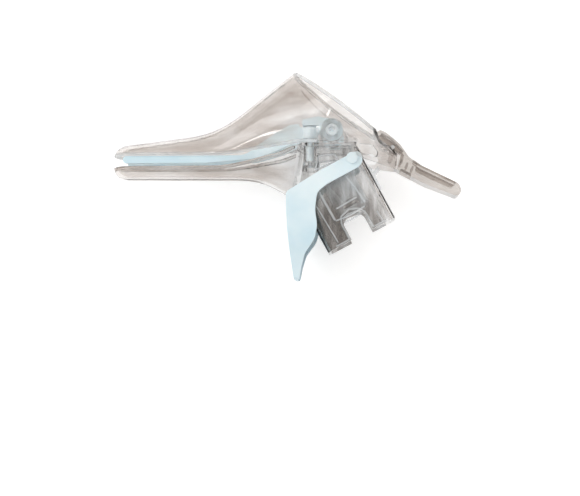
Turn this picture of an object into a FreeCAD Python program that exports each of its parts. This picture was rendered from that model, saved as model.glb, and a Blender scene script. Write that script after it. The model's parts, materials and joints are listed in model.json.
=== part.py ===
import FreeCAD, Part
import math
import os
import re

# Bivalve speculum with side retractors, lying on its side.
# X runs from the blade tips (-X) to the thumb lever (+X), Y from the handle up to the funnel,
# Z across the instrument. Sizes are measured from a point on the mid-plane just above the valve hinge,
# in millimetres.

V = FreeCAD.Vector
LEFT, RIGHT = 1, -1
SIDES = {"left": LEFT, "right": RIGHT}

doc = FreeCAD.newDocument("bivalve_speculum")
sheet = doc.addObject("Spreadsheet::Sheet", "Sizes")

SIZES = [
    ("wall", 1.8, "moulded wall of the blades and the funnel"),
    ("running_gap", 0.3, "clearance between faces that pass each other"),
    ("pin_fit", 0.05, "radial clearance of a pin in its bore"),
    ("blade_length", 126.5, "from the hinge to the blade tips"),
    ("blade_half_width", 12.5, "across the parallel part of the blades"),
    ("blade_gap_top", 17.3, "upper blade's edges, below the hinge"),
    ("blade_gap_bottom", 24.2, "lower blade's edges, below the hinge"),
    ("upper_crown", 10.7, "upper blade's crown near the tip, below the hinge"),
    ("upper_taper", 0.118, "rise of the upper crown along the blade"),
    ("lower_keel", 30.8, "lower blade's keel, below the hinge"),
    ("tip_round_length", 13, "length of the rounded tip in plan"),
    ("tip_round_height", 9, "length of the rounded tip in side view"),
    ("funnel_throat", 67, "where the funnel starts to flare, ahead of the hinge"),
    ("funnel_rise", 0.672, "slope that the flare adds to the crown"),
    ("funnel_blend", 5.5, "length scale of the flare's start"),
    ("funnel_flare", 0.22, "slope of the funnel's sides in plan"),
    ("lower_throat", 41, "where the lower blade's keel starts to drop, ahead of the hinge"),
    ("lower_rise", 0.6, "slope of the dropping keel"),
    ("lower_flare", 0.15, "slope of the lower blade's sides in plan"),
    ("rim_offset", 11.2, "rim plane's distance from the hinge"),
    ("rim_angle", 37.4, "rim plane's slope below the X axis"),
    ("yoke_start", 2, "where the side arms start to converge, behind the hinge"),
    ("yoke_end", 40, "where the side arms have met the thumb lever"),
    ("lug_half_width", 9.5, "thumb lever across its root"),
    ("arm_lower_edge", 11.8, "side arm's lower edge, below the hinge"),
    ("hinge_drop", 6, "hinge axis, below the point that sizes are measured from"),
    ("boss_radius", 6.4, "hinge bosses"),
    ("boss_face", 28.6, "outer face of the hinge boss, from the mid-plane"),
    ("hinge_shank", 2.6, "hinge pin's shank radius"),
    ("hinge_head", 3.4, "hinge pin's head radius"),
    ("hinge_head_depth", 1.2, "hinge pin's head thickness"),
    ("ear_outside", 23, "outer face of the handle's hinge ears, from the mid-plane"),
    ("ear_thickness", 2.7, "hinge ears"),
    ("bracket_thickness", 2.4, "retractor bracket plates"),
    ("handle_angle", 62, "handle's slope below the X axis"),
    ("handle_front", 37, "front wall, ahead of the line through the hinge"),
    ("handle_back", 6, "back wall, behind the line through the hinge"),
    ("handle_end", 64, "open end of the handle, along its slope"),
    ("handle_half_width", 14.5, "handle across"),
    ("handle_wall", 2, "handle's wall"),
    ("handle_corner", 6, "handle's corner radius"),
    ("roof_top", 12.3, "top of the handle's roof, below the hinge"),
    ("roof_thickness", 2, "handle's roof"),
    ("front_top", 17.4, "front wall's top corner, ahead of the hinge"),
    ("notch_front", 21.8, "front side of the notch in the handle's end"),
    ("notch_width", 13.4, "notch"),
    ("notch_depth", 15, "notch"),
    ("cradle_width", 19.2, "lamp cradle, fore and aft"),
    ("cradle_length", 26, "lamp cradle, along the handle"),
    ("cradle_wall", 1.6, "lamp cradle's wall"),
    ("retractor_pin_x", 12.6, "retractor pins, ahead of the hinge"),
    ("retractor_pin_z", 15.2, "retractor pins, from the mid-plane"),
    ("retractor_pin_radius", 2.3, "retractor pins"),
    ("retractor_head", 3, "retractor pins' heads, radius"),
    ("knuckle_radius", 3.9, "knuckles and cups round the retractor pins"),
    ("retractor_reach", 120, "distal end of the retractors, ahead of the hinge"),
    ("retractor_thickness", 1.8, "retractor blades"),
    ("retractor_half_gap", 8.6, "inner face of the retractors, from the mid-plane"),
    ("retractor_height", 4.2, "retractor strips"),
    ("trigger_thickness", 2.5, "trigger plates"),
    ("trigger_tip", 6, "trigger's tip, half of the hollow across"),
    ("trigger_pivot_x", 11.1, "trigger pin, behind the hinge"),
    ("trigger_pivot_y", 20.6, "trigger pin, below the hinge"),
    ("trigger_shank", 2, "trigger pin's shank radius"),
    ("trigger_head", 3.2, "trigger pin's head radius"),
    ("rack_radius", 33.5, "ratchet rack's tooth tips, from the hinge"),
    ("rack_depth", 2.6, "ratchet rack, tips to inner face"),
    ("rack_half_width", 2.5, "ratchet rack across"),
    ("tooth_depth", 0.9, "ratchet teeth"),
    ("pawl_half_width", 2.2, "pawl across"),
    ("pawl_pin_radius", 1.2, "pawl pin"),
    ("slot_half_width", 3.2, "slot for the rack and pawl"),
]
for row, (alias, number, note) in enumerate(SIZES, 1):
    sheet.set(f"A{row}", note)
    sheet.set(f"B{row}", str(number))
    sheet.setAlias(f"B{row}", alias)
doc.recompute()
ALIAS = re.compile(r"\b(" + "|".join(alias for alias, _, _ in SIZES) + r")\b")


def size(alias):
    """A driving dimension, read from the sheet."""
    return float(sheet.get(alias))


def bind(obj, **properties):
    """Ties an object's properties to expressions in the sheet's aliases."""
    for name, expression in properties.items():
        obj.setExpression(name, ALIAS.sub(r"Sizes.\g<0>", expression))
    return obj


def cylinder(name, radius, height, base, axis=V(0, 0, 1)):
    """A cylinder whose radius and height are expressions, standing on base along axis."""
    obj = bind(doc.addObject("Part::Cylinder", name), Radius=radius, Height=height)
    obj.Placement = FreeCAD.Placement(base, FreeCAD.Rotation(V(0, 0, 1), axis))
    return obj


def fuse(name, *parts):
    obj = doc.addObject("Part::MultiFuse", name)
    obj.Shapes = list(parts)
    return obj


def cut(name, base, *tools):
    obj = doc.addObject("Part::Cut", name)
    obj.Base = base
    obj.Tool = tools[0] if len(tools) == 1 else fuse(name + "_tools", *tools)
    return obj


def common(name, base, tool):
    obj = doc.addObject("Part::Common", name)
    obj.Base = base
    obj.Tool = tool
    return obj


def rounded_wire(points):
    """A closed wire through corners (x, y, radius): each corner with a radius becomes a tangent arc."""
    ends = []
    count = len(points)
    for i, (x, y, radius) in enumerate(points):
        corner = V(x, y, 0)
        before = V(*points[i - 1][:2], 0) - corner
        after = V(*points[(i + 1) % count][:2], 0) - corner
        if not radius:
            ends.append((corner, None, corner))
            continue
        half = before.getAngle(after) / 2
        back = min(radius / math.tan(half), 0.49 * before.Length, 0.49 * after.Length)
        radius = back * math.tan(half)
        before.normalize()
        after.normalize()
        middle = (before + after).normalize()
        centre = corner + middle * (radius / math.sin(half))
        ends.append((corner + before * back, centre - middle * radius, corner + after * back))
    edges = []
    for i, (start, through, end) in enumerate(ends):
        if through:
            edges.append(Part.Arc(start, through, end).toShape())
        following = ends[(i + 1) % count][0]
        if (following - end).Length > 1e-6:
            edges.append(Part.LineSegment(end, following).toShape())
    return Part.Wire(edges)


def prism(name, points, low, high, placement=None):
    """An outline in the XY plane, extruded from z = low to z = high (expressions)."""
    outline = doc.addObject("Part::Feature", name + "_outline")
    outline.Shape = rounded_wire(points)
    obj = doc.addObject("Part::Extrusion", name)
    obj.Base = outline
    obj.DirMode = "Custom"
    obj.Dir = V(0, 0, 1)
    obj.Solid = True
    bind(obj, LengthFwd=high, LengthRev=low)
    if placement:
        obj.Placement = placement
    return obj


def both_sides(name, points, half):
    """An outline extruded to both sides of the mid-plane."""
    return prism(name, points, half, half)


def one_side(name, side, points, inner, outer):
    """An outline extruded from |z| = inner to |z| = outer on one side of the mid-plane."""
    if side == LEFT:
        return prism(name, points, "-(" + inner + ")", outer)
    return prism(name, points, outer, "-(" + inner + ")")


def smooth(start, end, x):
    """0 before start and 1 after end, with a smooth step between."""
    t = min(1, max(0, (x - start) / (end - start)))
    return t * t * (3 - 2 * t)


def bend(x, scale):
    """0 well before zero and x well after it, turning over a length of scale."""
    return scale * math.log1p(math.exp(x / scale))


def tip(distance, length):
    """Share of the full section at a distance from the rounded tip."""
    t = min(1, max(0, 1 - distance / length))
    return max(0.12, (1 - t ** 2.4) ** (1 / 2.4))


# Sections of the two shells: each is an ellipse across X, of half width, centre and half height.
TAPER_START = 120
EYE_LEVEL = 5  # widest level of the funnel, below the hinge
UPPER_LEVEL = 19  # widest level of the upper blade, below the hinge
LOWER_EYE_LEVEL = 13
LOWER_LEVEL = 22.5


def upper_section(x, inset):
    half_width = size("blade_half_width") + size("funnel_flare") * bend(x + size("funnel_throat"), 6)
    narrow = smooth(size("yoke_start"), size("yoke_end"), x)
    half_width += (size("lug_half_width") - half_width) * narrow
    crown = size("upper_taper") * (x + TAPER_START) - size("upper_crown")
    crown += size("funnel_rise") * bend(x + size("funnel_throat"), size("funnel_blend"))
    centre = -UPPER_LEVEL + (UPPER_LEVEL - EYE_LEVEL) * smooth(-75, -25, x)
    distance = x + size("blade_length") - inset
    half_width = (half_width - inset) * tip(distance, size("tip_round_length"))
    half_height = (crown - centre - inset) * tip(distance, size("tip_round_height"))
    return half_width, centre, half_height


def lower_section(x, inset):
    half_width = size("blade_half_width") + size("lower_flare") * bend(x + size("funnel_throat"), 6)
    keel = -size("lower_keel") - 0.008 * (x + TAPER_START)
    keel -= size("lower_rise") * bend(x + size("lower_throat"), 4)
    centre = -LOWER_LEVEL + (LOWER_LEVEL - LOWER_EYE_LEVEL) * smooth(-75, -25, x)
    distance = x + size("blade_length") - inset
    half_width = (half_width - inset) * tip(distance, size("tip_round_length"))
    half_height = (centre - keel - inset) * tip(distance, size("tip_round_height"))
    return half_width, centre, half_height


def duct(name, section, stations, inset, seam_angle):
    """A smooth solid through the elliptical sections at the stations."""
    count = 16
    wires = []
    for x in stations:
        half_width, centre, half_height = section(x, inset)
        ring = []
        for i in range(count):
            turn = math.radians(seam_angle) + 2 * math.pi * i / count
            ring.append(V(x, centre + half_height * math.cos(turn), half_width * math.sin(turn)))
        curve = Part.BSplineCurve()
        curve.interpolate(Points=ring, PeriodicFlag=True)
        wires.append(Part.Wire(curve.toShape()))
    obj = doc.addObject("Part::Feature", name)
    obj.Shape = Part.makeLoft(wires, True)
    return obj


def stations(inset, end):
    """Where the sections stand: close together round the tip, then every few wall lengths."""
    start = -size("blade_length") + inset
    near_tip = [start, start + 0.8, start + 2.5, start + 5.5, start + 10, start + 16]
    rest = 9
    first = start + 28
    return near_tip + [first + (end - first) * i / (rest - 1) for i in range(rest)]


# The handle's own directions: n points back across it, d down along it.
slope = math.radians(size("handle_angle"))
ALONG = V(math.cos(slope), -math.sin(slope), 0)
ACROSS = V(math.sin(slope), math.cos(slope), 0)


def handle_point(n, d, radius=0):
    """A corner of an outline, given across and along the handle."""
    point = ACROSS * n + ALONG * d
    return point.x, point.y, radius


def on_line(start, end, x):
    """Y on the line through two points at x."""
    return start[1] + (end[1] - start[1]) * (x - start[0]) / (end[0] - start[0])


rim = math.radians(size("rim_angle"))
RIM_ALONG = V(math.cos(rim), -math.sin(rim), 0)
RIM_NORMAL = V(math.sin(rim), math.cos(rim), 0)


def rim_point(t, height=0, radius=0):
    """A corner of an outline, given along the rim plane and above it."""
    point = RIM_NORMAL * (size("rim_offset") + height) + RIM_ALONG * t
    return point.x, point.y, radius


BLADE_EDGE = -size("blade_gap_top")
LOWER_EDGE = -size("blade_gap_bottom")
ARM_EDGE = -size("arm_lower_edge")
FAR_AHEAD = -size("blade_length") - 5

# Where the yoke meets the thumb lever
hood_front = rim_point(22.4)
hood_foot = (26.7, -9.9, 0)
hood_heel = (38.9, -17.4, 0)
yoke_heel = (36.4, -26.2, 0)


PAWL_PIVOT = (34, -13.4)
PAWL_ANGLE = -26  # where the pawl's nose meets the rack, about the hinge


def pawl_nose():
    """The pawl's nose: on the rack's tooth tips, with the running gap and a little more."""
    reach = size("rack_radius") + size("running_gap") + 0.2
    angle = math.radians(PAWL_ANGLE)
    return reach * math.cos(angle), reach * math.sin(angle) - size("hinge_drop")


def hinge_hole(name, radius, depth_from, depth_to, side):
    """A round tool on the hinge axis, from |z| = depth_from to depth_to on one side."""
    length = f"{depth_to} - ({depth_from})"
    tool = cylinder(name, radius, length, V(0, -size("hinge_drop"), 0), V(0, 0, side))
    bind(tool, **{"Placement.Base.z": f"{side} * ({depth_from})"})
    return tool


def make_upper_blade():
    """Upper blade, funnel and side arms: one thin shell, cut to its side outline."""
    wall = size("wall")
    outer = duct("upper_outside", upper_section, stations(0, 46), 0, 180)
    inner = duct("upper_inside", upper_section, stations(wall, 46), wall, 180)
    edge = [
        (FAR_AHEAD, BLADE_EDGE, 0), (-60, BLADE_EDGE, 20), (-42, BLADE_EDGE + 2.5, 20),
        (-20, ARM_EDGE, 12), (9, ARM_EDGE, 3), (14.5, -20.7, 3), (22, -22.6, 6),
        yoke_heel, hood_heel, hood_foot, hood_front,
        rim_point(-36.6), (-40, 60, 0), (FAR_AHEAD, 60, 0),
    ]
    outside = common("upper_trimmed", outer, both_sides("upper_side_view", edge, "40"))
    void = [
        (FAR_AHEAD, -60, 0), (yoke_heel[0] - 4.2, -60, 0), (yoke_heel[0] - wall, yoke_heel[1], 0),
        (hood_heel[0] - 1.6 * wall, hood_heel[1] - 0.4 * wall, 1.5),
        (hood_foot[0] - 0.55 * wall, hood_foot[1] - 1.1 * wall, 0),
        (hood_front[0] - 1.2 * wall, hood_front[1], 0), (hood_front[0] - 1.2 * wall, 70, 0),
        (FAR_AHEAD, 70, 0),
    ]
    hollow = common("upper_hollow", inner, both_sides("upper_void_view", void, "40"))
    window = both_sides("arm_window", [
        (13.2, -13.4, 1.5), (22.5, -13.6, 1.5), (25.5, -17.4, 1.5), (24.5, -20.6, 1.5), (16.6, -18.6, 1.5),
    ], "40")
    slot_back = pawl_nose()[0] + 5.341
    slot = both_sides("rack_slot", [
        (hood_foot[0] + 0.6, -24, 0), (slot_back, -24, 0), (slot_back, -10, 0), (hood_foot[0] + 0.6, -5, 0),
    ], "slot_half_width")
    shell = cut("upper_shell", outside, hollow, window, slot)
    bosses = [hinge_hole(f"upper_boss_{name}", "boss_radius", "ear_outside + running_gap", "boss_face", side)
              for name, side in SIDES.items()]
    bores = []
    for name, side in SIDES.items():
        bores.append(hinge_hole(f"upper_bore_{name}", "hinge_shank + pin_fit", "0", "boss_face + 1", side))
        bores.append(hinge_hole(f"upper_seat_{name}", "hinge_head + 6 * pin_fit",
                                "boss_face - hinge_head_depth - running_gap", "boss_face + 1", side))
    bores.append(pawl_pin_hole("upper"))
    return cut("upper_blade", fuse("upper_with_bosses", shell, *bosses), *bores)


def make_thumb_lever():
    """Ratchet hood and thumb lever: a channel with rims, and a hollow hood over the pawl."""
    wall = size("wall")
    hood = both_sides("hood_body", [
        hood_foot, hood_front, rim_point(23.6, 2.6, 1.5), rim_point(27.5, 3.4, 3), (38.2, -11.6, 6),
        (43.6, -19.4, 0), hood_heel,
    ], "lug_half_width - 2")
    lever = both_sides("lever_body", [
        yoke_heel, hood_heel, (43.6, -19.4, 6), (48.5, -23.4, 20), (71.2, -34.4, 3.5), (73, -38.2, 3),
        (71, -42, 2.5), (52.2, -34.6, 40),
    ], "lug_half_width")
    channel = both_sides("lever_channel", [
        (49.5, -20, 0), (46.2, -27.2, 2), (54.5, -31.6, 20), (67.5, -37.4, 2), (70, -31.5, 0), (55, -20, 0),
    ], "lug_half_width - 1.8")
    underside = both_sides("lever_underside", [
        (36, -30, 0), (38.8, -25.6, 1), (44.5, -28.6, 1), (43.5, -35, 0),
    ], "lug_half_width - 1.8")
    inside = both_sides("hood_inside", [
        (hood_foot[0] + 1, hood_foot[1] - 3, 0), (hood_front[0] + 1.6, hood_front[1] - 1.8, 0),
        rim_point(25.2, 1.2, 1), (36.9, -12.2, 4), (40.6, -17.8, 1), (39.6, -22.4, 0),
        (hood_heel[0] - 3, hood_heel[1] - 3, 0),
    ], "slot_half_width")
    body = fuse("lever_with_hood", hood, lever)
    return cut("thumb_lever", body, channel, underside, inside, pawl_pin_hole("lever"))


def pawl_pin_hole(name):
    """The pawl pin's bore through the hood and the yoke."""
    return cylinder(f"pawl_pin_hole_{name}", "pawl_pin_radius + pin_fit", "2 * lug_half_width",
                    V(*PAWL_PIVOT, -size("lug_half_width")))


def make_pawl():
    """Pawl in the hood, with its nose clear of the rack's tooth tips."""
    nose = pawl_nose()
    x, y = PAWL_PIVOT
    body = both_sides("pawl_body", [
        (nose[0], nose[1], 0), (nose[0] + 2.4, nose[1] - 0.9, 1), (x + 1.3, y - 2.2, 2),
        (x + 1.9, y + 1.2, 1.5), (x - 1, y + 1.9, 1.5), (x - 2.4, y - 0.6, 2),
        (nose[0] + 0.9, nose[1] + 2.4, 1),
    ], "pawl_half_width")
    hole = cylinder("pawl_bore", "pawl_pin_radius + pin_fit", "2 * pawl_half_width + 2",
                    V(x, y, -size("pawl_half_width") - 1))
    return cut("ratchet_pawl", body, hole)


def make_pawl_pin():
    pin = cylinder("pawl_pin", "pawl_pin_radius", "2 * (lug_half_width - 2)", V(*PAWL_PIVOT, 0))
    return bind(pin, **{"Placement.Base.z": "2 - lug_half_width"})


# The joint plane between the lower blade and the handle
front_top = (-size("front_top"), -size("roof_top"))
front_corner = handle_point(-size("handle_front"), 24)


def make_lower_blade():
    """Lower blade: a trough that deepens to a closed flange against the handle's front wall."""
    wall = size("wall")
    outer = duct("lower_outside", lower_section, stations(0, 0), 0, 0)
    inner = duct("lower_inside", lower_section, stations(wall, 0), wall, 0)
    below = (on_line_x(front_top, front_corner, -60), -60, 0)
    edge = [
        (FAR_AHEAD, LOWER_EDGE, 0), (-62, LOWER_EDGE, 20), (-46, LOWER_EDGE + 3, 20), (-30, -17.4, 10),
        (*front_top, 0), below, (FAR_AHEAD, -60, 0),
    ]
    outside = common("lower_trimmed", outer, both_sides("lower_side_view", edge, "40"))
    void = [
        (FAR_AHEAD, 0, 0), (front_top[0] - wall, 0, 0), (front_top[0] - wall, front_top[1], 0),
        (below[0] - wall, -60, 0), (FAR_AHEAD, -60, 0),
    ]
    hollow = common("lower_hollow", inner, both_sides("lower_void_view", void, "40"))
    return cut("lower_blade", outside, hollow)


def on_line_x(start, end, y):
    """X on the line through two points at y."""
    return start[0] + (end[0] - start[0]) * (y - start[1]) / (end[1] - start[1])


def rounded_box(name, half_n, centre_n, half_z, start, end, corner):
    """A rounded rectangular bar along the handle, from d = start to d = end."""
    points = [(centre_n - half_n, -half_z, corner), (centre_n + half_n, -half_z, corner),
              (centre_n + half_n, half_z, corner), (centre_n - half_n, half_z, corner)]
    bar = prism(name, points, f"-({start})", f"{end}")
    bar.Placement = FreeCAD.Placement(V(0, 0, 0), FreeCAD.Rotation(ACROSS, V(0, 0, 1), ALONG, "ZXY"))
    return bar


def make_handle_body():
    """Handle: an open-ended tube with roof, hinge ears, retractor cups, windows and an end notch."""
    wall = size("handle_wall")
    front, back, end = size("handle_front"), size("handle_back"), size("handle_end")
    half_n, centre_n = (front + back) / 2, (back - front) / 2
    half_z, corner = size("handle_half_width"), size("handle_corner")
    roof = -size("roof_top")
    top_back = ((back - ACROSS.y * roof) / ACROSS.x, roof)
    outer_bar = rounded_box("handle_outside", half_n, centre_n, half_z, -30, end, corner)
    inner_bar = rounded_box("handle_inside", half_n - wall, centre_n, half_z - wall, -30, end + 1,
                            corner - wall)
    side_view = [(*front_top, 0), front_corner, handle_point(-front - 2, end + 2),
                 handle_point(back + 2, end + 2), handle_point(back + 2, 5), (top_back[0] + 2, roof, 0)]
    void_view = [
        (front_top[0] + wall, roof - size("roof_thickness"), 0),
        (front_corner[0] + 1.1 * wall, front_corner[1], 0), handle_point(-front - 2, 40),
        handle_point(-front - 2, end + 4), handle_point(back + 2, end + 4), handle_point(back + 2, 0),
        (top_back[0] + 4, roof - size("roof_thickness"), 0),
    ]
    tube = cut(
        "handle_tube",
        common("handle_trimmed", outer_bar, both_sides("handle_side_view", side_view, "40")),
        common("handle_hollow", inner_bar, both_sides("handle_void_view", void_view, "40")),
    )
    roof_plate = both_sides("handle_roof", [
        (*front_top, 0), (on_line_x(front_top, front_corner, roof - size("roof_thickness")),
                          roof - size("roof_thickness"), 0),
        (top_back[0], roof - size("roof_thickness"), 0), (top_back[0], roof, 0),
    ], "ear_outside")
    roof_light = both_sides("roof_light", [(-13, -20, 0), (5, -20, 0), (5, 0, 0), (-13, 0, 0)], "9.5")
    ears = []
    radius, hinge_y = size("boss_radius"), -size("hinge_drop")
    for name, side in SIDES.items():
        ears.append(one_side(f"ear_{name}", side, [
            (-9.5, roof - 1, 0), (9.5, roof - 1, 0), (9.5, roof + 1, 2), (radius, hinge_y, 5),
            (radius * 0.7, hinge_y + radius, 6), (-radius * 0.7, hinge_y + radius, 6), (-radius, hinge_y, 5),
            (-9.5, roof + 1, 2),
        ], "ear_outside - ear_thickness", "ear_outside"))
    cups, wells = [], []
    for name, side in SIDES.items():
        centre = V(-size("retractor_pin_x"), roof, side * size("retractor_pin_z"))
        cups.append(cylinder(f"cup_{name}", "knuckle_radius", "roof_top", centre, V(0, -1, 0)))
        wells.append(cylinder(f"well_{name}", "retractor_pin_radius + pin_fit", "roof_top - 1.6",
                              centre + V(0, 0.5, 0), V(0, -1, 0)))
    bores = [hinge_hole(f"ear_bore_{name}", "hinge_shank + pin_fit", "ear_outside - 5", "ear_outside + 5", side)
             for name, side in SIDES.items()]
    trigger_bore = cylinder("trigger_bore", "trigger_shank + pin_fit", "60",
                            V(size("trigger_pivot_x"), -size("trigger_pivot_y"), -30))
    window = both_sides("side_window", [
        (-8, -19.4, 1), (1.2, -18.6, 1.5), (2.6, -21.4, 1), (-9.6, -26.6, 1),
    ], "40")
    notch_front = -size("notch_front")
    notch_back = notch_front + size("notch_width")
    notch = both_sides("end_notch", [
        handle_point(notch_front, end + 4), handle_point(notch_front, end - size("notch_depth"), 5),
        handle_point(notch_back, end - size("notch_depth") + 2, 4), handle_point(notch_back, end + 4),
    ], "40")
    body = fuse("handle_solid", tube, roof_plate, *ears, *cups)
    return cut("handle_body", body, roof_light, *wells, *bores, trigger_bore, window, notch)


def make_lamp_cradle():
    """Cradle for a light stick: a sleeve between the handle's side walls, with finger slots."""
    wall = size("cradle_wall")
    half = size("cradle_width") / 2
    centre = half - size("notch_front")
    half_z = size("handle_half_width") - size("handle_wall")
    end = size("handle_end") - size("notch_depth") - 0.5
    start = end - size("cradle_length")
    outside = rounded_box("cradle_outside", half, centre, half_z, start, end, 1)
    inside = rounded_box("cradle_inside", half - wall, centre, half_z - wall, start - 1, end + 1, 1)
    slot = both_sides("cradle_slot", [
        handle_point(centre - 5.2, end - 1.6, 1), handle_point(centre - 5.2, end - 6, 3),
        handle_point(centre + 5.2, end - 6, 3), handle_point(centre + 5.2, end - 1.6, 1),
    ], "40")
    return cut("lamp_cradle", outside, inside, slot)


def make_hinge_pin(name, side):
    """Hollow hinge pin with a ring head outside and a collar inside."""
    shank = hinge_hole(f"shank_{name}", "hinge_shank", BRACKET_IN, "boss_face - hinge_head_depth - running_gap",
                       side)
    head = hinge_hole(f"head_{name}", "hinge_head", "boss_face - hinge_head_depth - running_gap",
                      "boss_face - running_gap", side)
    collar = hinge_hole(f"collar_{name}", "hinge_head", f"{BRACKET_IN} - 1.2", BRACKET_IN, side)
    hollow = hinge_hole(f"hollow_{name}", "hinge_shank - 1", "0", "boss_face + 1", side)
    return cut(f"hinge_pin_{name}", fuse(f"hinge_pin_solid_{name}", shank, head, collar), hollow)


BRACKET_OUT = "(ear_outside - ear_thickness - running_gap)"
BRACKET_IN = "(ear_outside - ear_thickness - running_gap - bracket_thickness)"
KNUCKLE_JOINT = 2.6  # where the bracket's knuckle ends and the retractor's starts, below the hinge
KNUCKLE_FOOT = 9.2


def pin_axis(side, y):
    return V(-size("retractor_pin_x"), y, side * size("retractor_pin_z"))


def make_bracket(name, side):
    """Side bracket: a disc on the hinge pin with an arm to the upper knuckle of the retractor."""
    pin_x, radius, hinge_y = size("retractor_pin_x"), size("boss_radius") - 0.4, -size("hinge_drop")
    plate = one_side(f"bracket_plate_{name}", side, [
        (0, hinge_y - radius, 5), (radius, hinge_y - radius * 0.7, 5), (radius, hinge_y + radius * 0.7, 5),
        (0, hinge_y + radius + 1, 5), (-8, 2.6, 4), (-pin_x - 4.2, 0.8, 1),
        (-pin_x - 4.2, -KNUCKLE_JOINT + 0.2, 0.5), (-7.4, -KNUCKLE_JOINT + 0.2, 1.5),
        (-radius * 0.9, hinge_y - radius * 0.6, 3),
    ], BRACKET_IN, BRACKET_OUT)
    knuckle = cylinder(f"bracket_knuckle_{name}", "knuckle_radius", f"{KNUCKLE_JOINT} + 0.6",
                       pin_axis(side, 0.8), V(0, -1, 0))
    solid = fuse(f"bracket_solid_{name}", plate, knuckle)
    hinge_bore = hinge_hole(f"bracket_bore_{name}", "hinge_shank + pin_fit", "ear_outside - 12", "ear_outside",
                            side)
    pin_bore = cylinder(f"bracket_pin_bore_{name}", "retractor_pin_radius + pin_fit", "10", pin_axis(side, 3),
                        V(0, -1, 0))
    seat = cylinder(f"bracket_seat_{name}", "retractor_head + running_gap", "10", pin_axis(side, 0.8),
                    V(0, 1, 0))
    return cut(f"side_bracket_{name}", solid, hinge_bore, pin_bore, seat)


def make_retractor(name, side):
    """Side retractor: a long strip that lies in the gap between the blades and rises to its knuckle."""
    reach, pin_x = -size("retractor_reach"), -size("retractor_pin_x")
    top = BLADE_EDGE - size("running_gap") - 0.2
    bottom = top - size("retractor_height")
    side_view = both_sides(f"retractor_view_{name}", [
        (pin_x, -KNUCKLE_JOINT - 0.3, 0), (-17.6, -KNUCKLE_JOINT - 0.3, 1), (-19, -0.9, 1.5), (-24, -1.4, 6),
        (-30, -4.4, 12), (-37, -8.8, 12), (-43, -12.4, 6), (-50, top, 12), (reach, top, 2),
        (reach, bottom, 2), (-72, bottom, 40), (-44, bottom + 2.2, 20), (-30, -15.2, 10),
        (-22, -11.6, 6), (pin_x, -KNUCKLE_FOOT, 0),
    ], "40")
    thick, inner = size("retractor_thickness"), size("retractor_half_gap")
    root = size("retractor_pin_z") - thick / 2
    band = doc.addObject("Part::Feature", f"retractor_plan_{name}")
    band.Shape = rounded_wire([
        (reach - 1, inner, 0), (-45, inner, 12), (-22, root - 0.7, 12), (pin_x, root, 0),
        (pin_x, root + thick, 0), (-22.6, root - 0.7 + thick, 12), (-45, inner + thick, 12),
        (reach - 1, inner + thick, 0),
    ])
    blade = doc.addObject("Part::Extrusion", f"retractor_band_{name}")
    blade.Base = band
    blade.DirMode = "Custom"
    blade.Dir = V(0, 0, 1)
    blade.Solid = True
    blade.LengthFwd = 40
    blade.LengthRev = 40
    blade.Placement = FreeCAD.Placement(V(0, 0, 0), FreeCAD.Rotation(V(1, 0, 0), 90 * side))
    knuckle = cylinder(f"retractor_knuckle_{name}", "knuckle_radius",
                       f"{KNUCKLE_FOOT} - {KNUCKLE_JOINT} - 0.3",
                       pin_axis(side, -KNUCKLE_JOINT - 0.3), V(0, -1, 0))
    bore = cylinder(f"retractor_bore_{name}", "retractor_pin_radius + pin_fit", "20", pin_axis(side, 3),
                    V(0, -1, 0))
    solid = fuse(f"retractor_solid_{name}", common(f"retractor_blade_{name}", side_view, blade), knuckle)
    return cut(f"retractor_{name}", solid, bore)


def make_retractor_pin(name, side):
    """Retractor pin: stands in the handle's cup and passes through both knuckles."""
    head = cylinder(f"retractor_pin_head_{name}", "retractor_head", "0.8", pin_axis(side, 0.8),
                    V(0, 1, 0))
    shank = cylinder(f"retractor_shank_{name}", "retractor_pin_radius", "2 * roof_top - 1.5",
                     pin_axis(side, 0.8), V(0, -1, 0))
    return fuse(f"retractor_pin_{name}", head, shank)


def make_trigger():
    """Trigger: two bent side plates that straddle the handle, joined by a finger web in front."""
    px, py = size("trigger_pivot_x"), -size("trigger_pivot_y")
    outline = [
        (px + 3.9, py + 4.9, 5), (px + 6.3, py - 1.8, 4), (px + 3.4, py - 5.2, 3), (-2.8, -35.1, 0),
        (-8.6, -39.6, 6), (-10, -50, 30), (-8.5, -58, 20), (-10, -66, 12), (-15.8, -74, 10), (-18, -82, 12),
        (-19.2, -89.2, 2.5), (-22.2, -89.2, 2.5), (-24.2, -74, 60), (-25.8, -58, 60), (-26.4, -39.6, 3.5),
        (-8, -28.1, 0),
    ]
    body = both_sides("trigger_body", outline, TRIGGER_OUT)
    between = both_sides("trigger_between", [
        (-40, -43.3, 0), (-23.9, -43.3, 1), (-23.5, -58, 60), (-21.9, -74, 60), (-20, -86, 0), (-19.9, -95, 0),
        (40, -95, 0), (40, 0, 0), (-40, 0, 0),
    ], TRIGGER_IN)
    bore = cylinder("trigger_pin_bore", "trigger_shank + pin_fit", "60", V(px, py, -30))
    hollow, plate = size("handle_half_width") + size("running_gap") + 0.5, size("trigger_thickness")
    tip_hollow = size("trigger_tip")
    outer_view = front_view("trigger_front_view", hollow + plate, tip_hollow + plate, 4)
    inner_view = front_view("trigger_inner_view", hollow, tip_hollow, 3)
    outside = common("trigger_outside", body, outer_view)
    inside = common("trigger_inside", between, inner_view)
    return cut("trigger", outside, inside, bore)


def front_view(name, half, tip_half, corner):
    """The trigger's outline seen along X: parallel sides that draw in towards the tip."""
    straight_to, tip_end = -66, -89.2
    view = prism(name, [
        (-half, 0, 0), (-half, straight_to, 30), (-tip_half, tip_end, corner), (tip_half, tip_end, corner),
        (half, straight_to, 30), (half, 0, 0),
    ], "60", "60")
    view.Placement = FreeCAD.Placement(V(0, 0, 0), FreeCAD.Rotation(V(0, 1, 0), 90))
    return view


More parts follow.
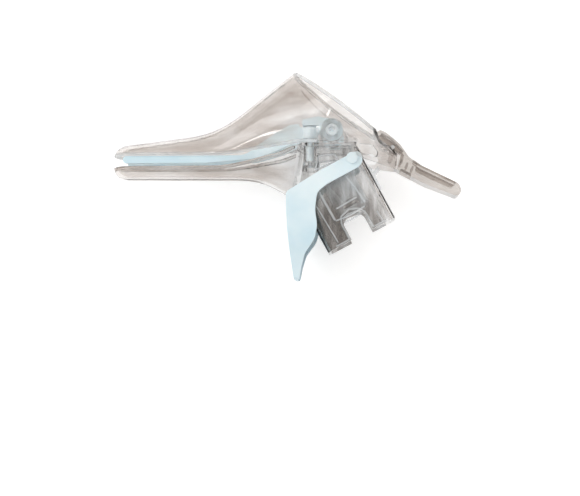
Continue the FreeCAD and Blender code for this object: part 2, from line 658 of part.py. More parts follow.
TRIGGER_IN = "(handle_half_width + running_gap + 0.5)"
TRIGGER_OUT = "(handle_half_width + running_gap + 0.5 + trigger_thickness)"


def make_trigger_pin():
    """Trigger pin through the handle, with a head outside each plate."""
    px, py = size("trigger_pivot_x"), -size("trigger_pivot_y")
    shank = cylinder("trigger_shank_body", "trigger_shank", f"2 * ({TRIGGER_OUT} + running_gap)", V(px, py, 0))
    bind(shank, **{"Placement.Base.z": f"-({TRIGGER_OUT} + running_gap)"})
    heads = []
    for name, side in SIDES.items():
        head = cylinder(f"trigger_head_{name}", "trigger_head", "1.2", V(px, py, 0), V(0, 0, side))
        heads.append(bind(head, **{"Placement.Base.z": f"{side} * ({TRIGGER_OUT} + running_gap)"}))
    return fuse("trigger_pin", shank, *heads)


RACK_START, RACK_END, TOOTH_COUNT = -54, -34.5, 8


def make_ratchet_rack():
    """Ratchet rack: a toothed arc about the hinge, standing on a pad on the handle's back wall."""
    tips, root = size("rack_radius"), size("rack_radius") - size("tooth_depth")
    inner = size("rack_radius") - size("rack_depth")
    pitch = (RACK_END - RACK_START) / TOOTH_COUNT

    def polar(radius, degrees):
        angle = math.radians(degrees)
        return V(radius * math.cos(angle), radius * math.sin(angle) - size("hinge_drop"), 0)

    corners = [polar(root, RACK_START)]
    for i in range(TOOTH_COUNT):
        at = RACK_START + i * pitch
        corners += [polar(tips, at + 0.25 * pitch), polar(tips, at + 0.45 * pitch), polar(root, at + pitch)]
    edges = [Part.LineSegment(a, b).toShape() for a, b in zip(corners, corners[1:])]
    edges.append(Part.LineSegment(corners[-1], polar(inner, RACK_END)).toShape())
    middle = (RACK_START + RACK_END) / 2
    edges.append(Part.Arc(polar(inner, RACK_END), polar(inner, middle), polar(inner, RACK_START)).toShape())
    edges.append(Part.LineSegment(polar(inner, RACK_START), corners[0]).toShape())
    outline = doc.addObject("Part::Feature", "rack_outline")
    outline.Shape = Part.Wire(edges)
    arc = doc.addObject("Part::Extrusion", "rack_arc")
    arc.Base = outline
    arc.DirMode = "Custom"
    arc.Dir = V(0, 0, 1)
    arc.Solid = True
    bind(arc, LengthFwd="rack_half_width", LengthRev="rack_half_width")
    back = size("handle_back")
    pad = both_sides("rack_pad", [
        handle_point(back - 1, 30), handle_point(back - 1, 46), handle_point(back + 1.4, 45, 1),
        handle_point(back + 1.8, 31, 1),
    ], "rack_half_width + 0.4")
    handle_side = both_sides("rack_trim", [
        handle_point(back, -10), handle_point(back, 80), handle_point(back - 30, 80),
        handle_point(back - 30, -10),
    ], "rack_half_width + 2")
    return cut("ratchet_rack", fuse("rack_solid", arc, pad), handle_side)


nodes = {
    "upper_blade": make_upper_blade(),
    "thumb_lever": make_thumb_lever(),
    "ratchet_pawl": make_pawl(),
    "pawl_pin": make_pawl_pin(),
    "lower_blade": make_lower_blade(),
    "handle_body": make_handle_body(),
    "lamp_cradle": make_lamp_cradle(),
    "trigger": make_trigger(),
    "trigger_pin": make_trigger_pin(),
    "ratchet_rack": make_ratchet_rack(),
}
for side_name, side_sign in SIDES.items():
    nodes[f"hinge_pin_{side_name}"] = make_hinge_pin(side_name, side_sign)
    nodes[f"side_bracket_{side_name}"] = make_bracket(side_name, side_sign)
    nodes[f"retractor_{side_name}"] = make_retractor(side_name, side_sign)
    nodes[f"retractor_pin_{side_name}"] = make_retractor_pin(side_name, side_sign)

doc.recompute()
for obj in doc.Objects:
    if "Invalid" in obj.State or "Error" in obj.State:
        raise RuntimeError(f"{obj.Name} did not build: {obj.State}")

# The origin moves from the hinge to the middle of the side that the instrument lies on.
whole = FreeCAD.BoundBox()
for obj in nodes.values():
    whole.add(obj.Shape.optimalBoundingBox(False, False))
to_base = V(-whole.Center.x, -whole.Center.y, size("boss_face"))

os.makedirs("parts", exist_ok=True)
for name, obj in nodes.items():
    if obj.Shape.isNull() or not obj.Shape.isValid():
        raise RuntimeError(f"{name} has no valid shape")
    obj.Label = name
    obj.Placement = FreeCAD.Placement(obj.Placement.Base + to_base, obj.Placement.Rotation)
    obj.Shape.exportStep(f"parts/{name}.step")
    print(name, len(obj.Shape.Solids), round(obj.Shape.Volume))
print("hinge at", [round(value, 3) for value in to_base], "box", whole)
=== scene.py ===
import json
import math

import bpy
import numpy as np
from mathutils import Matrix, Vector


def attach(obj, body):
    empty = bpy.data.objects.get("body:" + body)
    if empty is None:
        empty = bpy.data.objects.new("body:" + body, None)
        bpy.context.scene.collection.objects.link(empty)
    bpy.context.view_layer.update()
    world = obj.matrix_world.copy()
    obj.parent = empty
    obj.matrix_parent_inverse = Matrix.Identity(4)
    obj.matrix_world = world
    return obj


# Bivalve speculum with side retractors, lying on its side. Sizes are those of the part's source, in mm,
# from a point on the mid-plane just above the valve hinge: +X to the thumb lever, +Y to the funnel.

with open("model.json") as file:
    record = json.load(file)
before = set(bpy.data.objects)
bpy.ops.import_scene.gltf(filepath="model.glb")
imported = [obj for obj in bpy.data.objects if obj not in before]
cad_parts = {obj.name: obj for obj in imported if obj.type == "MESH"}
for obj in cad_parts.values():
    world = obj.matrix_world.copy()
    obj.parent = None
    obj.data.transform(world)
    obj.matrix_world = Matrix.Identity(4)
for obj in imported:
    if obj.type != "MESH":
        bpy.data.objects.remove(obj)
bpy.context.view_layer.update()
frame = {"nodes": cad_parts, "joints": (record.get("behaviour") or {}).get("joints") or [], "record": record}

MM = 0.001
HINGE_DROP = 6  # the valve hinge's axis, below that point
valve_hinge = next(joint for joint in frame["joints"] if joint["name"] == "valve_hinge")
ZERO = np.array(valve_hinge["pos_m"]) / MM + [0, HINGE_DROP, 0]  # that point in the row's frame, mm
SIDES = {"near": 1, "far": -1}  # towards the camera and towards the floor

WALL = 1.8
BLADE_LENGTH = 126.5
BLADE_HALF_WIDTH = 12.5
TIP_ROUND_LENGTH = 13  # the rounded tip, in plan
TIP_ROUND_HEIGHT = 9  # the rounded tip, in side view
TAPER_START = 120  # where the levels of crown and keel are given, ahead of ZERO
UPPER_CROWN = 10.7
UPPER_TAPER = 0.118
LOWER_KEEL = 30.8
LOWER_TAPER = 0.008
FUNNEL_THROAT = 67  # where the crown turns up and the sides start to flare, ahead of ZERO
FUNNEL_RISE = 0.672
FUNNEL_BLEND = 5.5
FUNNEL_FLARE = 0.22
LOWER_THROAT = 41  # where the keel turns down, ahead of ZERO
LOWER_RISE = 0.6
LOWER_BLEND = 4
LOWER_FLARE = 0.15
FLARE_BLEND = 6
YOKE_START = 2  # where the side arms start to converge
YOKE_END = 40
LUG_HALF_WIDTH = 9.5
LEVEL_START = -75  # where each shell's widest level starts to move from the blade's to the funnel's
LEVEL_END = -25
UPPER_LEVEL = 19
EYE_LEVEL = 5
LOWER_LEVEL = 22.5
LOWER_EYE_LEVEL = 13
RIM_OFFSET = 11.2
RIM_ANGLE = math.radians(37.4)
HANDLE_ANGLE = math.radians(62)
HANDLE_END = 64
HANDLE_HALF_WIDTH = 14.5
NOTCH_FRONT = 21.8
NOTCH_WIDTH = 13.4

RIM_ALONG = np.array([math.cos(RIM_ANGLE), -math.sin(RIM_ANGLE)])
RIM_NORMAL = np.array([math.sin(RIM_ANGLE), math.cos(RIM_ANGLE)])
HANDLE_ALONG = np.array([math.cos(HANDLE_ANGLE), -math.sin(HANDLE_ANGLE)])
HANDLE_ACROSS = np.array([math.sin(HANDLE_ANGLE), math.cos(HANDLE_ANGLE)])


def linear(hex_colour):
    """sRGB hex to Blender's linear colour."""
    parts = [int(hex_colour[i:i + 2], 16) / 255 for i in (0, 2, 4)]
    return [p / 12.92 if p <= 0.04045 else ((p + 0.055) / 1.055) ** 2.4 for p in parts] + [1.0]


def add_node(owner, kind, settings=None, values=None, links=()):
    """Adds one node to a material or the world: its settings, its socket values, and its links, each as
    (own input, other node, other node's output)."""
    node = owner.node_tree.nodes.new(kind)
    for name, setting in (settings or {}).items():
        setattr(node, name, setting)
    for name, value in (values or {}).items():
        node.inputs[name].default_value = value
    for own, other, output in links:
        owner.node_tree.links.new(other.outputs[output], node.inputs[own])
    return node


def new_material(name, values):
    """A material with one Principled shader, its plain values set on the shader's own sockets."""
    material = bpy.data.materials.new(name)
    material.use_nodes = True
    material.node_tree.nodes.clear()
    shader = add_node(material, "ShaderNodeBsdfPrincipled", values=values)
    add_node(material, "ShaderNodeOutputMaterial", links=[("Surface", shader, "BSDF")])
    return material, shader


def moulded_plastic(name, values, colours, marks, waves, grain, gloss, painted_lighting_spot=((0, 0, 0), 1, 0)):
    """Injection-moulded plastic, with everything the mould leaves on it, on Object coordinates, and one pool
    of painted light, which is painted shade where its gain is negative.
    colours: two hex colours that the flow marks run between, and the pattern's values where they are reached.
    marks: the flow marks' size in mm, how they are stretched, and how far they are turned in degrees.
    waves, grain: size in mm and strength of the slow waves from uneven cooling and of the mould's fine grain.
    gloss: roughness at the waves' two ends.
    painted_lighting_spot: a pool of painted light: a place in mm, its radius in mm, and how far the second,
    paler colour gains there; where that is negative the first, darker colour gains, as painted shade."""
    material, shader = new_material(name, values)
    place = add_node(material, "ShaderNodeTexCoord")
    mark_size, stretch, turn = marks
    laid = add_node(material, "ShaderNodeMapping",
                    values={"Scale": stretch, "Rotation": (0, 0, math.radians(turn))},
                    links=[("Vector", place, "Object")])
    flow = add_node(material, "ShaderNodeTexNoise", values={"Scale": 1 / (mark_size * MM), "Detail": 3.0},
                    links=[("Vector", laid, "Vector")])
    wave_size, wave_strength = waves
    grain_size, grain_strength = grain
    # Pool of painted light round a place: a spherical gradient added to the flow marks, painted shade where
    # the gain is negative
    centre, radius, painted_lighting_gain = painted_lighting_spot
    from_centre = (-(ZERO + centre) / radius).tolist()
    about = add_node(material, "ShaderNodeMapping",
                     values={"Scale": (1 / (radius * MM),) * 3, "Location": from_centre},
                     links=[("Vector", place, "Object")])
    painted_lighting_ball = add_node(material, "ShaderNodeTexGradient", {"gradient_type": "SPHERICAL"},
                    links=[("Vector", about, "Vector")])
    tone = add_node(material, "ShaderNodeMath", {"operation": "MULTIPLY_ADD"}, {1: painted_lighting_gain},
                    links=[(0, painted_lighting_ball, "Fac"), (2, flow, "Fac")])
    ramp = add_node(material, "ShaderNodeValToRGB", links=[("Fac", tone, "Value")])
    for stop, colour, at in zip(ramp.color_ramp.elements, colours[:2], colours[2:]):
        stop.position, stop.color = at, linear(colour)

    slow = add_node(material, "ShaderNodeTexNoise", values={"Scale": 1 / (wave_size * MM), "Detail": 2.0},
                    links=[("Vector", place, "Object")])
    fine = add_node(material, "ShaderNodeTexNoise", values={"Scale": 1 / (grain_size * MM), "Detail": 1.0},
                    links=[("Vector", place, "Object")])
    waved = add_node(material, "ShaderNodeBump", values={"Strength": wave_strength, "Distance": 0.5 * MM},
                     links=[("Height", slow, "Fac")])
    grained = add_node(material, "ShaderNodeBump", values={"Strength": grain_strength, "Distance": 0.05 * MM},
                       links=[("Height", fine, "Fac"), ("Normal", waved, "Normal")])
    spread = add_node(material, "ShaderNodeMapRange",
                      values={"From Min": 0.35, "From Max": 0.65, "To Min": gloss[0], "To Max": gloss[1]},
                      links=[("Value", slow, "Fac")])
    for socket, node, output in (("Base Color", ramp, "Color"), ("Normal", grained, "Normal"),
                                 ("Roughness", spread, "Result")):
        material.node_tree.links.new(node.outputs[output], shader.inputs[socket])
    return material


CLEAR = {"IOR": 1.5, "Transmission Weight": 1.0, "Specular IOR Level": 0.6}

# Clear polystyrene: glassy, with faint warm flow streaks; painted light makes it paler round the hinge
BLADE_PLASTIC = moulded_plastic(
    "clear_polystyrene_blades_painted_light", CLEAR, ("D6CFCA", "F8F8F8", 0.3, 0.9), marks=(9, (0.35, 1.4, 1.0), -32),
    waves=(8, 0.08), grain=(0.5, 0.02), gloss=(0.03, 0.08), painted_lighting_spot=((-5, -16, 0), 40, 1.0))
# The same plastic in the deep handle, as a darker copy with a pool of painted shade over its front leg
HANDLE_PLASTIC_PAINTED_SHADE = moulded_plastic(
    "clear_polystyrene_handle_painted_shade", CLEAR, ("A7A29E", "FAFAFA", 0.1, 0.6), marks=(5, (1.6, 0.25, 1.0), 28),
    waves=(8, 0.12), grain=(0.5, 0.04), gloss=(0.03, 0.10), painted_lighting_spot=((0.6, -60, 0), 36, -0.65))
# The same plastic in the thumb lever, as a greyer copy: painted shade
LEVER_PLASTIC_PAINTED_SHADE = moulded_plastic(
    "clear_polystyrene_lever_painted_shade", CLEAR, ("BBB4AE", "DBD6D2", 0.3, 0.8), marks=(6, (0.4, 1.4, 1.0), 30),
    waves=(8, 0.08), grain=(0.5, 0.02), gloss=(0.04, 0.10))
# Clear pins and inserts: thin, pale and a little hazy, so what lies behind them shows through
INSERT_PLASTIC = moulded_plastic(
    "clear_insert_plastic", {"IOR": 1.5, "Alpha": 0.32}, ("DDE4E8", "F6FAFC", 0.35, 0.65),
    marks=(6, (1, 1, 1), 0), waves=(5, 0.12), grain=(0.5, 0.05), gloss=(0.10, 0.22))
# Polypropylene, pale blue: opaque and satin, light sinks in a little; painted light makes it paler round the
# hinge
BLUE_PLASTIC = moulded_plastic(
    "pale_blue_polypropylene_painted_light",
    {"IOR": 1.49, "Subsurface Weight": 0.12, "Subsurface Scale": 1.5 * MM,
     "Subsurface Radius": (0.8, 1.0, 1.2)},
    ("CEE7F1", "F0FBFF", 0.3, 0.95), marks=(22, (1, 1, 1), 0),
    waves=(7, 0.08), grain=(0.4, 0.10), gloss=(0.36, 0.5), painted_lighting_spot=((-8, -10, 0), 50, 0.6))
# Darker copies of the clear plastic for the handle and the thumb lever: painted shade
PAINTED_SHADE_COPIES = {"handle_body": HANDLE_PLASTIC_PAINTED_SHADE, "thumb_lever": LEVER_PLASTIC_PAINTED_SHADE}
FINISHES = {
    "clear_polystyrene": BLADE_PLASTIC,
    "clear_pin_plastic": INSERT_PLASTIC,
    "pale_blue_plastic": BLUE_PLASTIC,
}


def dress_cad_nodes():
    """Every carried-over CAD node gets the finish of its material slot, but the handle and the thumb lever
    get darker copies with painted shade. The clear ones let light through to the floor, as clear plastic
    does."""
    for entry in frame["record"]["subparts"]:
        node = frame["nodes"][entry["node"]]
        node.visible_shadow = entry["material_slot"] == "pale_blue_plastic"
        finish = PAINTED_SHADE_COPIES.get(entry["node"], FINISHES[entry["material_slot"]])
        for place in node.material_slots:
            place.material = finish


def unit(vectors):
    """The vectors divided by their own lengths."""
    return vectors / np.linalg.norm(vectors, axis=-1, keepdims=True)


def even_path(points, count, softness=0):
    """Points spread evenly along a run of corners; each softness pass moves a point halfway to the mean of
    its two neighbours."""
    points = np.asarray(points, float)
    gone = np.concatenate([[0], np.cumsum(np.linalg.norm(np.diff(points, axis=0), axis=1))])
    at = np.linspace(0, gone[-1], count)
    path = np.stack([np.interp(at, gone, points[:, k]) for k in range(3)], axis=1)
    for _ in range(softness):
        path[1:-1] = 0.25 * path[:-2] + 0.5 * path[1:-1] + 0.25 * path[2:]
    return path


BAR_SIDES = 14
BAR_END = 0.2  # a bar's end ring, as a share of its full profile


def bar(name, path, body, slot, half_in, half_up, up=(0, 0, 1), squareness=2.0, taper=3):
    """A rounded bar along a path. Round its axis at angle a the profile is
    (half_in * |cos a|^(2/squareness), half_up * |sin a|^(2/squareness)) with the signs of cos a and sin a,
    across the path and along up; over the first and last taper rings it shrinks like a quarter circle."""
    path = np.asarray(path, float)
    along = unit(np.gradient(path, axis=0))
    across = unit(np.cross(along, np.asarray(up, float)))
    rise = np.cross(across, along)
    angle = np.linspace(0, 2 * np.pi, BAR_SIDES, endpoint=False)
    c, s = np.cos(angle), np.sin(angle)
    profile_in = half_in * np.sign(c) * np.abs(c) ** (2 / squareness)
    profile_up = half_up * np.sign(s) * np.abs(s) ** (2 / squareness)
    profile = profile_in[None, :, None] * across[:, None] + profile_up[None, :, None] * rise[:, None]
    ring = np.arange(len(path))
    from_end = np.minimum(np.minimum(ring, ring[::-1]) / taper, 1)
    share = np.sqrt(1 - (1 - from_end) ** 2 * (1 - BAR_END ** 2))[:, None, None]
    closed_surface(name, path[:, None] + share * profile, body, slot)


def closed_surface(name, grid, body, slot):
    """A mesh over a grid of rings, each closed on itself, with a point in the middle of each end. Where its
    faces would point inwards, which a negative volume shows, they are all turned round."""
    rings, sides = grid.shape[:2]
    index = np.arange(rings * sides).reshape(rings, sides)
    beside = np.roll(index, -1, axis=1)
    quads = np.stack([index[:-1], beside[:-1], beside[1:], index[1:]], axis=-1).reshape(-1, 4)
    first, last = rings * sides, rings * sides + 1
    caps = np.concatenate([
        np.stack([beside[0], index[0], np.full(sides, first)], axis=-1),
        np.stack([index[-1], beside[-1], np.full(sides, last)], axis=-1),
    ])
    points = np.concatenate([grid.reshape(-1, 3), grid[0].mean(0)[None], grid[-1].mean(0)[None]])
    points = (points + ZERO) * MM
    corners = np.concatenate([np.concatenate([quads[:, [0, 1, 2]], quads[:, [0, 2, 3]]]), caps])
    a, b, c = (points[corners[:, k]] - points.mean(0) for k in range(3))
    if np.einsum("ij,ij->i", a, np.cross(b, c)).sum() < 0:
        quads, caps = quads[:, ::-1], caps[:, ::-1]
    mesh = bpy.data.meshes.new(name)
    mesh.from_pydata(points.tolist(), [], quads.tolist() + caps.tolist())
    mesh.polygons.foreach_set("use_smooth", np.ones(len(mesh.polygons), bool))
    mesh.materials.append(FINISHES[slot])
    piece = bpy.data.objects.new(name, mesh)
    bpy.context.scene.collection.objects.link(piece)
    piece.visible_shadow = slot == "pale_blue_plastic"
    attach(piece, body)


# The shells' sections, as in the part's source: an ellipse across X at each x, given by its half width,
# its centre's level and its half height, with inset measured inwards from the outside.


def smooth(start, end, x):
    """0 before start and 1 after end, with a smooth step between."""
    t = np.clip((x - start) / (end - start), 0, 1)
    return t * t * (3 - 2 * t)


def bend(x, scale):
    """0 well before zero and x well after it, turning over a length of scale."""
    return scale * np.log1p(np.exp(x / scale))


def tip(distance, length):
    """Share of the full section at a distance from the rounded tip: a superellipse of power 2.4."""
    power, least = 2.4, 0.12
    t = np.clip(1 - distance / length, 0, 1)
    return np.maximum(least, (1 - t ** power) ** (1 / power))


def upper_section(x, inset):
    """The upper blade, funnel and side arms. The half width flares from the throat and narrows to the thumb
    lever's root; the crown rises along a taper and turns up at the throat; the tip is rounded both ways."""
    half_width = BLADE_HALF_WIDTH + FUNNEL_FLARE * bend(x + FUNNEL_THROAT, FLARE_BLEND)
    half_width = half_width + (LUG_HALF_WIDTH - half_width) * smooth(YOKE_START, YOKE_END, x)
    crown = UPPER_TAPER * (x + TAPER_START) - UPPER_CROWN
    crown = crown + FUNNEL_RISE * bend(x + FUNNEL_THROAT, FUNNEL_BLEND)
    centre = -UPPER_LEVEL + (UPPER_LEVEL - EYE_LEVEL) * smooth(LEVEL_START, LEVEL_END, x)
    distance = x + BLADE_LENGTH - inset
    half_width = (half_width - inset) * tip(distance, TIP_ROUND_LENGTH)
    return half_width, centre, (crown - centre - inset) * tip(distance, TIP_ROUND_HEIGHT)


def lower_section(x, inset):
    """The lower blade. The half width flares from the funnel's throat; the keel sinks along a taper and turns
    down at its own throat; the tip is rounded both ways."""
    half_width = BLADE_HALF_WIDTH + LOWER_FLARE * bend(x + FUNNEL_THROAT, FLARE_BLEND)
    keel = -LOWER_KEEL - LOWER_TAPER * (x + TAPER_START) - LOWER_RISE * bend(x + LOWER_THROAT, LOWER_BLEND)
    centre = -LOWER_LEVEL + (LOWER_LEVEL - LOWER_EYE_LEVEL) * smooth(LEVEL_START, LEVEL_END, x)
    distance = x + BLADE_LENGTH - inset
    half_width = (half_width - inset) * tip(distance, TIP_ROUND_LENGTH)
    return half_width, centre, (centre - keel - inset) * tip(distance, TIP_ROUND_HEIGHT)


def on_shell(section, x, y, inset):
    """Half width of a shell at (x, y): the ellipse's half width times
    sqrt(1 - ((y - centre) / half height)^2)."""
    half_width, centre, half_height = section(x, inset)
    return half_width * np.sqrt(np.clip(1 - ((y - centre) / half_height) ** 2, 0, 1))


def handle_points(corners, z):
    """Points given across the handle and along it, at height z."""
    corners = np.asarray(corners, float)
    flat = corners[:, :1] * HANDLE_ACROSS + corners[:, 1:2] * HANDLE_ALONG
    return np.column_stack([flat, np.full(len(flat), float(z))])


def funnel_rim():
    """Bead along the funnel's mouth: t runs down the rim from the apex as the square of an even step,
    and the bead's centre lies half a wall inside the shell's ellipse there."""
    apex, rim_length = -35.4, 57
    depth = 1.1  # the bead's middle, below the rim plane
    narrowest = 0.5  # the bead crosses over where the shell's half width is less
    t = apex + rim_length * np.linspace(0, 1, 90) ** 2
    flat = (RIM_OFFSET - depth) * RIM_NORMAL + t[:, None] * RIM_ALONG
    half = on_shell(upper_section, flat[:, 0], flat[:, 1], WALL / 2)
    near = np.column_stack([flat, half])[half > narrowest]
    far = near[::-1] * [1, 1, -1]
    path = even_path(np.concatenate([far, near]), count=260, softness=6)
    bar("funnel_rim_bead", path, "upper", "clear_pin_plastic", half_in=1.15, half_up=1.0,
        up=(*RIM_NORMAL, 0))


def funnel_ridges():
    """Thin ridge on each side of the funnel, a little below the rim and bowed towards it."""
    corners = [(-19, 23.5, 0), (-13, 17, 0), (-4, 9.2, 0), (4, 2.2, 0), (13, -4.6, 0)]
    flat = even_path(corners, count=90, softness=20)[:, :2]
    half = on_shell(upper_section, flat[:, 0], flat[:, 1], inset=0.1)
    for name, side in SIDES.items():
        path = np.column_stack([flat, side * half])
        bar(f"funnel_ridge_{name}", path, "upper", "clear_polystyrene", half_in=0.45, half_up=0.45,
            up=(*RIM_NORMAL, 0))


def blade_edge_bead(name, section, corners, body, slot):
    """Rounded bead along a blade's open edge, from one side round the tip to the other: the edge's y follows
    the corners, and its z is the shell's half width at half a wall's depth."""
    start = 1.3 - BLADE_LENGTH
    narrowest = 1.2  # the bead crosses over where the shell's half width is less
    x = start + (corners[-1][0] - start) * np.linspace(0, 1, 240) ** 2
    y = np.interp(x, *np.transpose(corners))
    half = on_shell(section, x, y, WALL / 2)
    near = np.column_stack([x, y, half])[half > narrowest]
    path = even_path(np.concatenate([near[::-1] * [1, 1, -1], near]), count=420, softness=8)
    bar(name, path, body, slot, half_in=WALL / 2, half_up=1.1, up=(0, 1, 0))


def blade_beads():
    """Beads along the open edges of both blades, each edge given by its corners in side view."""
    blade_edge_bead("upper_blade_edge", upper_section, [
        (-130, -16.9), (-62, -16.9), (-54, -16.2), (-42, -14.3), (-30, -12.6), (-20, -11.4), (-8, -11.4),
    ], "upper", "clear_pin_plastic")
    blade_edge_bead("lower_blade_edge", lower_section, [
        (-130, -24.7), (-64, -24.7), (-56, -23.6), (-46, -21.6), (-36, -19.2), (-30, -17.9), (-21, -14.2),
    ], "root", "clear_polystyrene")


def blade_backs():
    """The thick backs of the two blades: a rib along the upper one's crown and the lower one's keel, on the
    line where the shell's half height is largest, sunk half a wall and a little more."""
    start = -119
    sunk = WALL / 2 + 0.35
    for name, section, side, end, body in (("upper_blade_crown_rib", upper_section, 1, -24, "upper"),
                                           ("lower_blade_keel_rib", lower_section, -1, -40, "root")):
        x = np.linspace(start, end, 140)
        _, centre, half_height = section(x, sunk)
        path = np.column_stack([x, centre + side * half_height, np.zeros_like(x)])
        bar(name, path, body, "clear_polystyrene", half_in=1.8, half_up=0.8, up=(0, 1, 0), taper=9)


def handle_details():
    """Beads round the handle's open end and its side windows, and thin ribs on its sides, where the guides
    for a light stick show: two rails, a foot, a bar across and a long rib on each leg. A rib is given by half
    its width and its corners; the end bead keeps a margin from the edges of the handle's end and notch."""
    margin = 0.8
    lip = HANDLE_END - margin
    front, back = -NOTCH_FRONT - margin, -NOTCH_FRONT + NOTCH_WIDTH + margin
    end = [(-31.5, lip), (front, lip), (front, 53.5), (-21, 49.5), (-15, 47.9), (-9.6, 50.2), (back, 53.5),
           (back, lip), (0.6, lip)]
    window = [(-8, -19), (1.4, -18), (3.2, -21.4), (-4, -24.6), (-9.8, -26.8), (-8.6, -22), (-8, -19)]
    ribs = {
        "front_leg": (0.4, [(-30.4, 37), (-29.2, 62)]),
        "back_leg": (0.4, [(-1.6, 56), (-1.2, 62.5)]),
        "guide_front": (0.7, [(-25.2, 31), (-24.9, 50)]),
        "guide_back": (0.6, [(-8, 30), (-6.2, 38), (-5.2, 49)]),
        "guide_foot": (0.5, [(-24.9, 50.2), (-16.4, 51.3), (-6, 50.6)]),
        "guide_bar": (0.5, [(-21.5, 44.4), (-7.8, 43.8)]),
    }
    end_z, window_z, rib_z = (HANDLE_HALF_WIDTH - sunk for sunk in (0.8, 0.5, 0.2))
    for name, side in SIDES.items():
        path = even_path(handle_points(end, side * end_z), count=200, softness=6)
        bar(f"handle_end_bead_{name}", path, "root", "clear_pin_plastic", half_in=0.75, half_up=1.0)
        path = even_path([(x, y, side * window_z) for x, y in window], count=90, softness=3)
        bar(f"handle_window_frame_{name}", path, "root", "clear_pin_plastic", half_in=0.6, half_up=0.75)
        for rib, (half_wide, corners) in ribs.items():
            path = even_path(handle_points(corners, side * rib_z), count=60, softness=4)
            bar(f"handle_{rib}_{name}", path, "root", "clear_pin_plastic", half_in=half_wide, half_up=0.42,
                squareness=4)


def lever_details():
    """Rails along the thumb lever's sides, short ribs at its root, and ridges on the ratchet hood."""
    rail = [(45.5, -21.3), (50, -24.6), (58, -28.5), (69.5, -34.3)]
    ridges = [
        [(27.5, -5.6), (33, -8.6), (40, -16.2)],
        [(28.5, -10.8), (33, -13.2), (38.5, -17.4)],
    ]
    root_x = (37.6, 41.0, 44.0)
    root_y, root_slope = -23.6, -0.62
    rail_z, ridge_z, root_z = (LUG_HALF_WIDTH - sunk for sunk in (0.9, 2.1, 0.6))
    for name, side in SIDES.items():
        path = even_path([(x, y, side * rail_z) for x, y in rail], count=90, softness=10)
        bar(f"thumb_rail_{name}", path, "upper", "clear_polystyrene", half_in=0.6, half_up=0.85)
        for k, ridge in enumerate(ridges):
            path = even_path([(x, y, side * ridge_z) for x, y in ridge], count=60, softness=8)
            bar(f"hood_ridge_{name}_{k}", path, "upper", "clear_polystyrene", half_in=0.5, half_up=0.55)
        for k, x in enumerate(root_x):
            y = root_y + root_slope * (x - root_x[0])
            path = even_path([(x, y, side * root_z), (x + 1.6, y + 3.2, side * root_z)], count=24)
            bar(f"lever_root_rib_{name}_{k}", path, "upper", "clear_polystyrene", half_in=0.55, half_up=0.6)


FLOOR_HALF = 3.0  # metres
FLOOR_LIFT = 0.35  # share of white that the floor shows of itself, so it stays white where light falls off


def stage_floor():
    """A plain pale floor under the instrument, white where the camera, glass or gloss sees it lit."""
    corners = [(-FLOOR_HALF, -FLOOR_HALF, 0), (FLOOR_HALF, -FLOOR_HALF, 0),
               (FLOOR_HALF, FLOOR_HALF, 0), (-FLOOR_HALF, FLOOR_HALF, 0)]
    mesh = bpy.data.meshes.new("floor")
    mesh.from_pydata(corners, [], [(0, 1, 2, 3)])
    floor = bpy.data.objects.new("floor", mesh)
    bpy.context.scene.collection.objects.link(floor)
    material, shader = new_material("pale_floor", {
        "Base Color": linear("F6F6F6"), "Roughness": 0.9, "Emission Color": linear("FFFFFF"),
    })
    rays = add_node(material, "ShaderNodeLightPath")
    seen = add_node(material, "ShaderNodeMath", {"operation": "MAXIMUM"},
                    links=[(0, rays, "Is Camera Ray"), (1, rays, "Is Transmission Ray")])
    shown = add_node(material, "ShaderNodeMath", {"operation": "MAXIMUM"},
                     links=[(0, seen, "Value"), (1, rays, "Is Glossy Ray")])
    lift = add_node(material, "ShaderNodeMath", {"operation": "MULTIPLY"}, {1: FLOOR_LIFT},
                    links=[(0, shown, "Value")])
    material.node_tree.links.new(lift.outputs["Value"], shader.inputs["Emission Strength"])
    mesh.materials.append(material)


def soft_light(name, place, width, height, power):
    """A soft box at place, facing the instrument: place, width and height in metres, power in watts."""
    lamp = bpy.data.lights.new(name, "AREA")
    lamp.shape, lamp.size, lamp.size_y, lamp.energy = "RECTANGLE", width, height, power
    box = bpy.data.objects.new(name, lamp)
    bpy.context.scene.collection.objects.link(box)
    box.location = place
    box.rotation_euler = (-Vector(place)).to_track_quat("-Z", "Y").to_euler()


PALE, DIM = "F7F6F5", "948A80"  # what surrounds the instrument, and the ring that darkens its edges
SURROUNDINGS = ((0.17, PALE), (0.21, DIM), (0.34, DIM), (0.46, PALE))  # colours by the sine of the elevation


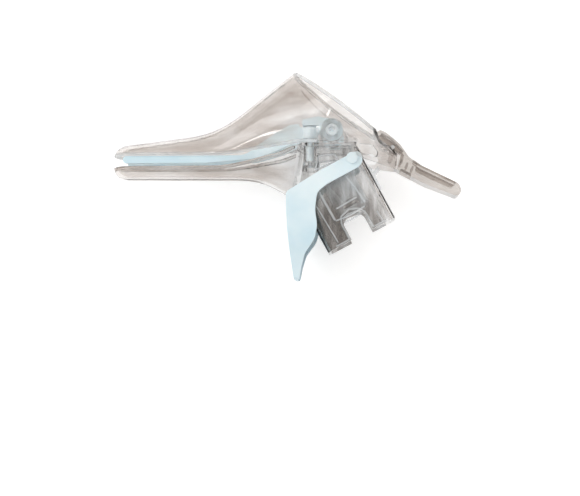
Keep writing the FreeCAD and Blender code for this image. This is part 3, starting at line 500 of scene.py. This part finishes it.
def studio():
    """Pale surroundings with a dim warm ring above the horizon, which gives clear plastic its edges, one soft
    box for shape and two small ones whose glints lie on the upper blade."""
    world = bpy.data.worlds.new("studio")
    bpy.context.scene.world = world
    world.use_nodes = True
    background = world.node_tree.nodes["Background"]
    background.inputs["Strength"].default_value = 1.0
    place = add_node(world, "ShaderNodeTexCoord")
    height = add_node(world, "ShaderNodeSeparateXYZ", links=[("Vector", place, "Generated")])
    shade = add_node(world, "ShaderNodeValToRGB", links=[("Fac", height, "Z")])
    stops = shade.color_ramp.elements
    for at, colour in SURROUNDINGS:
        stops.new(at).color = linear(colour)
    stops.remove(stops[0])
    stops.remove(stops[len(stops) - 1])
    world.node_tree.links.new(shade.outputs["Color"], background.inputs["Color"])
    soft_light("key_light", (-0.9, 0.5, 0.9), width=0.7, height=0.7, power=3.4)
    soft_light("funnel_glint", (-0.56, 0.19, 1.04), width=0.05, height=0.06, power=0.12)
    soft_light("blade_glint", (-0.40, 0.41, 1.05), width=0.10, height=0.03, power=0.10)


def place_camera():
    """Perspective camera above the instrument, leaning a little towards the thumb lever and the handle's
    end. Its lens comes from its focal length in pixels of the photograph, which is 580 pixels wide."""
    focal_px, picture_px, sensor_mm, distance = 1570.0, 580, 36.0, 0.9
    back = Vector((0.05, -0.07, 0.991)).normalized()
    target = Vector((2.1, -41.0, 28.6)) * MM
    right = Vector((0, 1, 0)).cross(back).normalized()
    turn = Matrix((right, back.cross(right), back)).transposed()
    data = bpy.data.cameras.new("camera")
    data.sensor_width, data.lens = sensor_mm, focal_px / picture_px * sensor_mm
    data.clip_start, data.clip_end = 0.01, 20
    camera = bpy.data.objects.new("camera", data)
    bpy.context.scene.collection.objects.link(camera)
    camera.matrix_world = Matrix.Translation(target + back * distance) @ turn.to_4x4()
    bpy.context.scene.camera = camera


dress_cad_nodes()
funnel_rim()
funnel_ridges()
blade_beads()
blade_backs()
handle_details()
lever_details()
stage_floor()
studio()
place_camera()
bpy.context.scene.view_settings.view_transform = "Standard"
